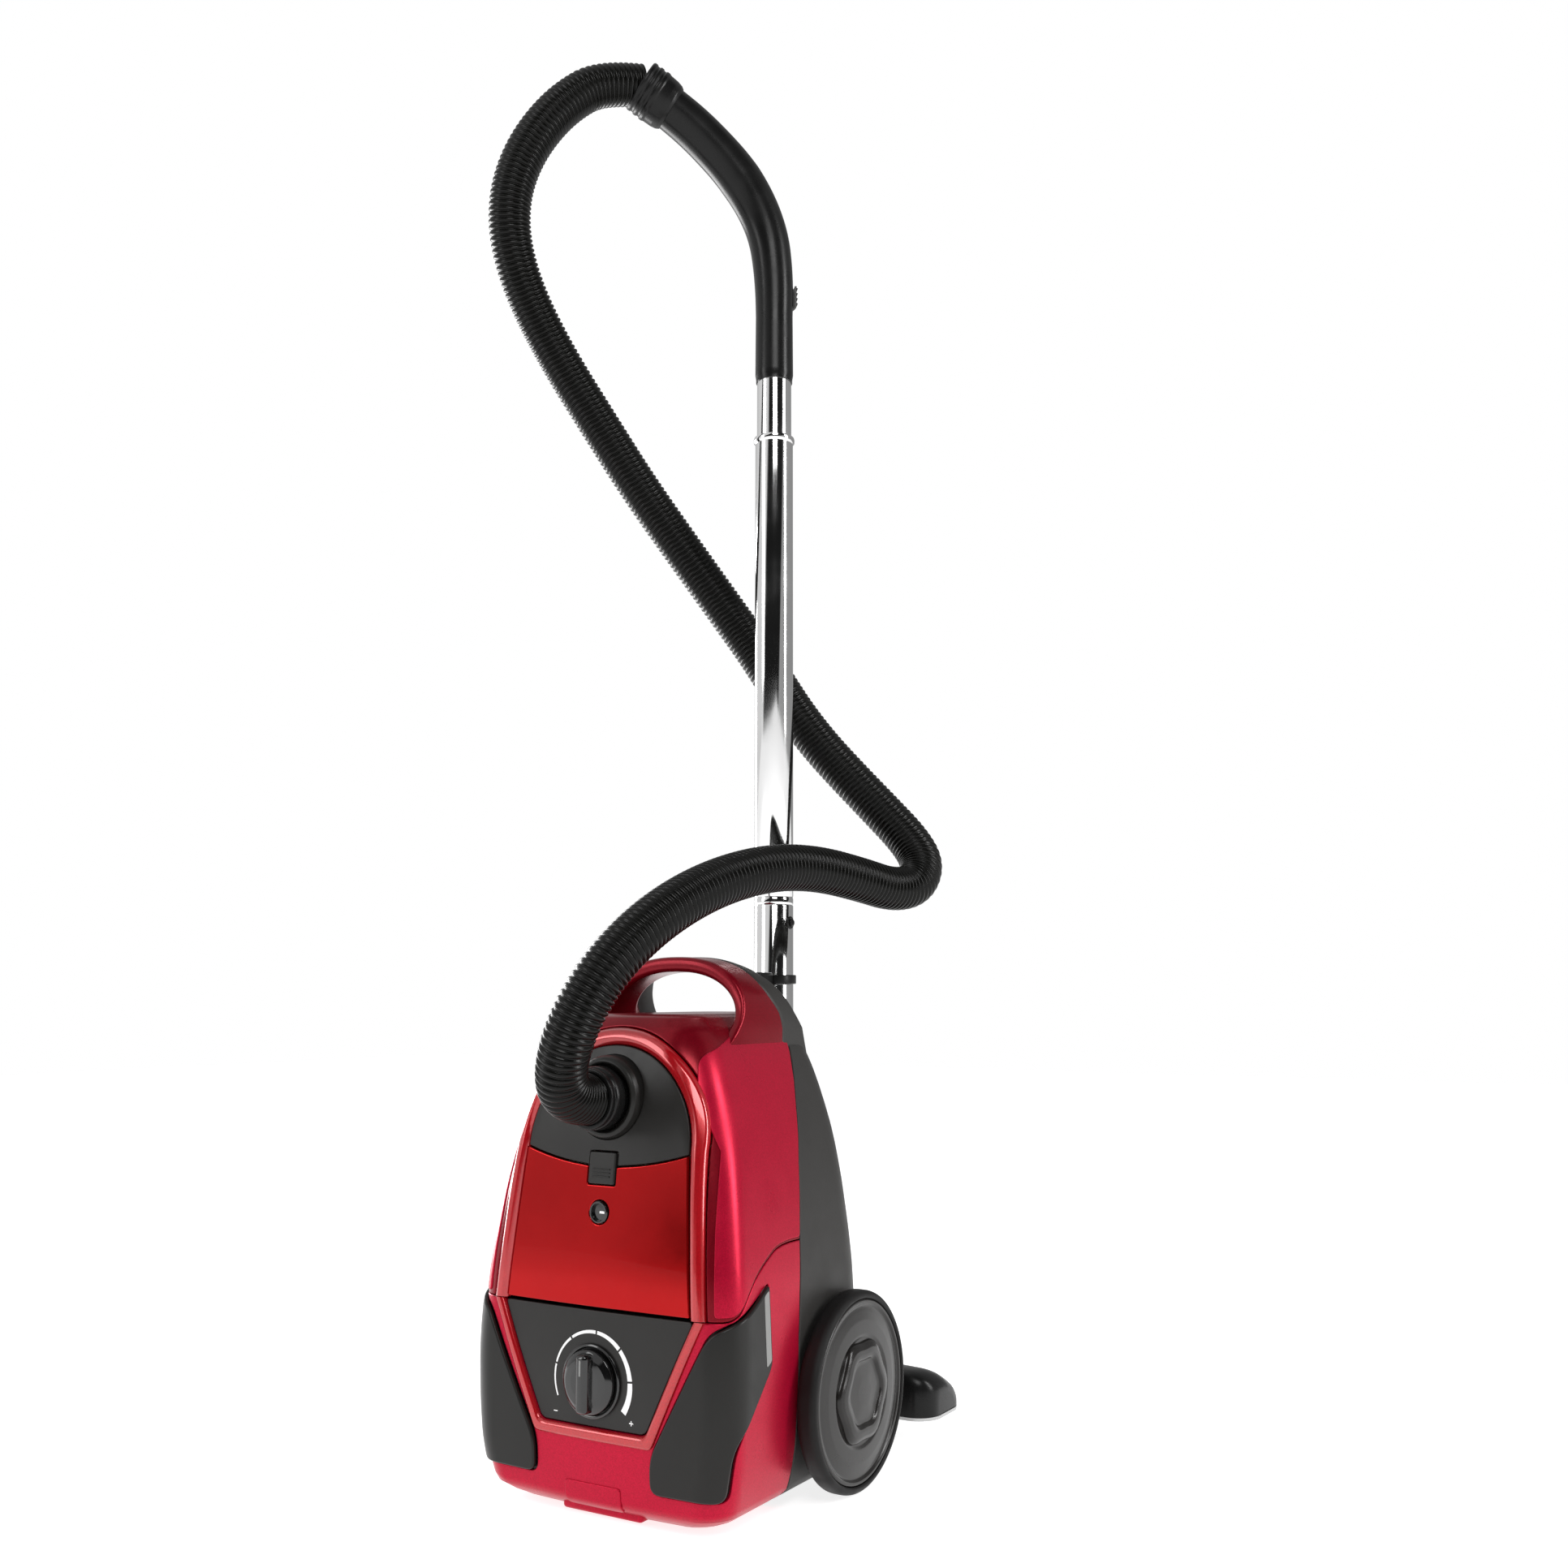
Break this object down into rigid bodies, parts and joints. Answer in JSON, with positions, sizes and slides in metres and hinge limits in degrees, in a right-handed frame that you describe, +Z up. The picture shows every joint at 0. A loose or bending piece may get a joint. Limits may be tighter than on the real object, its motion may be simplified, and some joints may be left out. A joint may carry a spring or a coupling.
{
  "type": "canister vacuum cleaner",
  "caption": "Upright-parked canister vacuum cleaner with ribbed hose, two-piece chrome wand, floor nozzle, big side wheels, hinged dust lid, power knob and foot pedals.",
  "frame": {"origin": "on the floor, under the middle of the box round the rigid parts", "axes": "+Z up along the parked wand, -Y out of the front panel, +X to the right of the front panel"},
  "size_m": [0.3363, 0.4336, 1.2317],
  "materials": {
    "red_shell": "metallic red moulded plastic",
    "red_trim": "glossy metallic red trim",
    "red_lid": "deep glossy red",
    "grey_shell": "fine textured dark grey",
    "panel_grey": "satin charcoal",
    "black_plastic": "satin black",
    "wheel_grey": "satin charcoal",
    "tyre_black": "matt black rubber",
    "chrome": "polished",
    "nozzle_grey": "satin black",
    "steel": "bright zinc",
    "button_black": "satin black",
    "inner_plastic": "plain moulded",
    "board": "laminate",
    "bag_fleece": "non-woven fleece",
    "seal_rubber": "soft foam rubber",
    "motor_metal": "machined",
    "bristle": "bristle strip",
    "hose_black": "ribbed soft black plastic"
  },
  "bodies": {
    "canister": {"upper_housing": "red_shell", "lower_housing": "red_shell", "foot_pads": "red_shell", "front_rim": "red_trim", "base_shell": "grey_shell", "parking_bracket": "grey_shell", "exhaust_grille": "grey_shell", "inlet_panel": "panel_grey", "control_panel": "panel_grey", "inlet_socket": "black_plastic", "cord_outlet_bush": "black_plastic", "lid_hinge_pin": "steel", "wheel_axles": "steel", "case_screws": "steel", "latch_spring": "steel", "pedal_spring_right": "steel", "pedal_spring_left": "steel", "partition_wall": "inner_plastic", "bag_collar": "inner_plastic", "motor_housing": "inner_plastic", "reel_frame": "inner_plastic", "potentiometer": "inner_plastic", "circuit_board": "board", "dust_bag": "bag_fleece", "pre_motor_filter": "bag_fleece", "exhaust_filter": "bag_fleece", "lid_seal": "seal_rubber", "hose": "hose_black"},
    "dust_lid": {"lid_panel": "red_lid", "bag_full_window": "black_plastic"},
    "latch": {"lid_latch": "panel_grey"},
    "knob": {"power_knob": "black_plastic"},
    "power_pedal": {"pedal_power": "panel_grey"},
    "rewind_pedal": {"pedal_rewind": "panel_grey"},
    "wheel_right": {"wheel_disc_right": "wheel_grey", "wheel_tyre_right": "tyre_black", "wheel_cap_right": "wheel_grey"},
    "wheel_left": {"wheel_disc_left": "wheel_grey", "wheel_tyre_left": "tyre_black", "wheel_cap_left": "wheel_grey"},
    "caster": {"caster_fork": "black_plastic"},
    "caster_roller": {"caster_wheel": "tyre_black"},
    "fan": {"fan_rotor": "motor_metal"},
    "reel": {"cord_reel": "inner_plastic"},
    "cuff": {"hose_cuff": "black_plastic"},
    "wand": {"handle_grip": "black_plastic", "grip_collar": "black_plastic", "grip_stub": "chrome", "upper_tube": "chrome", "lower_tube": "chrome", "parking_clip": "black_plastic", "nozzle_neck": "black_plastic"},
    "snap_button": {"tube_button": "button_black"},
    "air_valve": {"air_slider": "black_plastic"},
    "nozzle": {"nozzle_body": "nozzle_grey", "sole_plate": "steel", "nozzle_pivot_pin": "steel"},
    "rocker": {"nozzle_rocker": "nozzle_grey"},
    "brush": {"brush_strip": "bristle"},
    "rollers": {"nozzle_rollers": "tyre_black"}
  },
  "joints": [
    {"name": "lid_open", "type": "hinge", "parent": "canister", "child": "dust_lid", "pos_m": [0, -0.1637, 0.1525], "axis": [1, 0, 0], "range_deg": [0, 75]},
    {"name": "latch_press", "type": "slide", "parent": "canister", "child": "latch", "axis": [0, 1, 0], "range_m": [0, 0.003], "stiffness_N_per_m": 400, "deforming": ["latch_spring"]},
    {"name": "knob_turn", "type": "hinge", "parent": "canister", "child": "knob", "pos_m": [0, -0.1755, 0.098], "axis": [0, -1, 0], "range_deg": [-120, 120]},
    {"name": "power_press", "type": "slide", "parent": "canister", "child": "power_pedal", "axis": [0, 1, 0], "range_m": [0, 0.002], "stiffness_N_per_m": 600, "deforming": ["pedal_spring_right"]},
    {"name": "rewind_press", "type": "slide", "parent": "canister", "child": "rewind_pedal", "axis": [0, 1, 0], "range_m": [0, 0.002], "stiffness_N_per_m": 600, "deforming": ["pedal_spring_left"]},
    {"name": "wheel_right_spin", "type": "hinge", "parent": "canister", "child": "wheel_right", "pos_m": [0.126, -0.0075, 0.074], "axis": [1, 0, 0], "continuous": true},
    {"name": "wheel_left_spin", "type": "hinge", "parent": "canister", "child": "wheel_left", "pos_m": [-0.126, -0.0075, 0.074], "axis": [1, 0, 0], "continuous": true},
    {"name": "caster_swivel", "type": "hinge", "parent": "canister", "child": "caster", "pos_m": [0, 0.0395, 0.308], "axis": [0, 1, 0], "continuous": true},
    {"name": "caster_spin", "type": "hinge", "parent": "caster", "child": "caster_roller", "pos_m": [0, 0.052, 0.3], "axis": [1, 0, 0], "continuous": true},
    {"name": "fan_spin", "type": "hinge", "parent": "canister", "child": "fan", "pos_m": [-0.048, -0.0435, 0.078], "axis": [0, 0, 1], "continuous": true},
    {"name": "reel_spin", "type": "hinge", "parent": "canister", "child": "reel", "pos_m": [0.048, -0.0395, 0.078], "axis": [0, 0, 1], "continuous": true},
    {"name": "cuff_swivel", "type": "hinge", "parent": "canister", "child": "cuff", "pos_m": [0, -0.1635, 0.299], "axis": [0, 1, 0], "continuous": true},
    {"name": "wand_lift", "type": "slide", "parent": "canister", "child": "wand", "axis": [0, 0, 1], "range_m": [0, 0.12], "deforming": ["hose"]},
    {"name": "snap_press", "type": "slide", "parent": "wand", "child": "snap_button", "axis": [-1, 0, 0], "range_m": [0, 0.0045], "stiffness_N_per_m": 500},
    {"name": "air_slide", "type": "slide", "parent": "wand", "child": "air_valve", "axis": [0, 0, 1], "range_m": [0, 0.014]},
    {"name": "nozzle_tilt", "type": "hinge", "parent": "wand", "child": "nozzle", "pos_m": [0, 0.0845, 0.061], "axis": [-1, 0, 0], "range_deg": [0, 75]},
    {"name": "rocker_tilt", "type": "hinge", "parent": "nozzle", "child": "rocker", "pos_m": [0, 0.1305, 0.0585], "axis": [-1, 0, 0], "range_deg": [0, 7]},
    {"name": "brush_drop", "type": "slide", "parent": "nozzle", "child": "brush", "axis": [0, 0, -1], "range_m": [0, 0.005]},
    {"name": "rollers_spin", "type": "hinge", "parent": "nozzle", "child": "rollers", "pos_m": [0, 0.1225, 0.028], "axis": [1, 0, 0], "continuous": true}
  ],
  "couplings": [
    {"joint": "rocker_tilt", "follows": "brush_drop", "rad_per_m": 24.4}
  ]
}
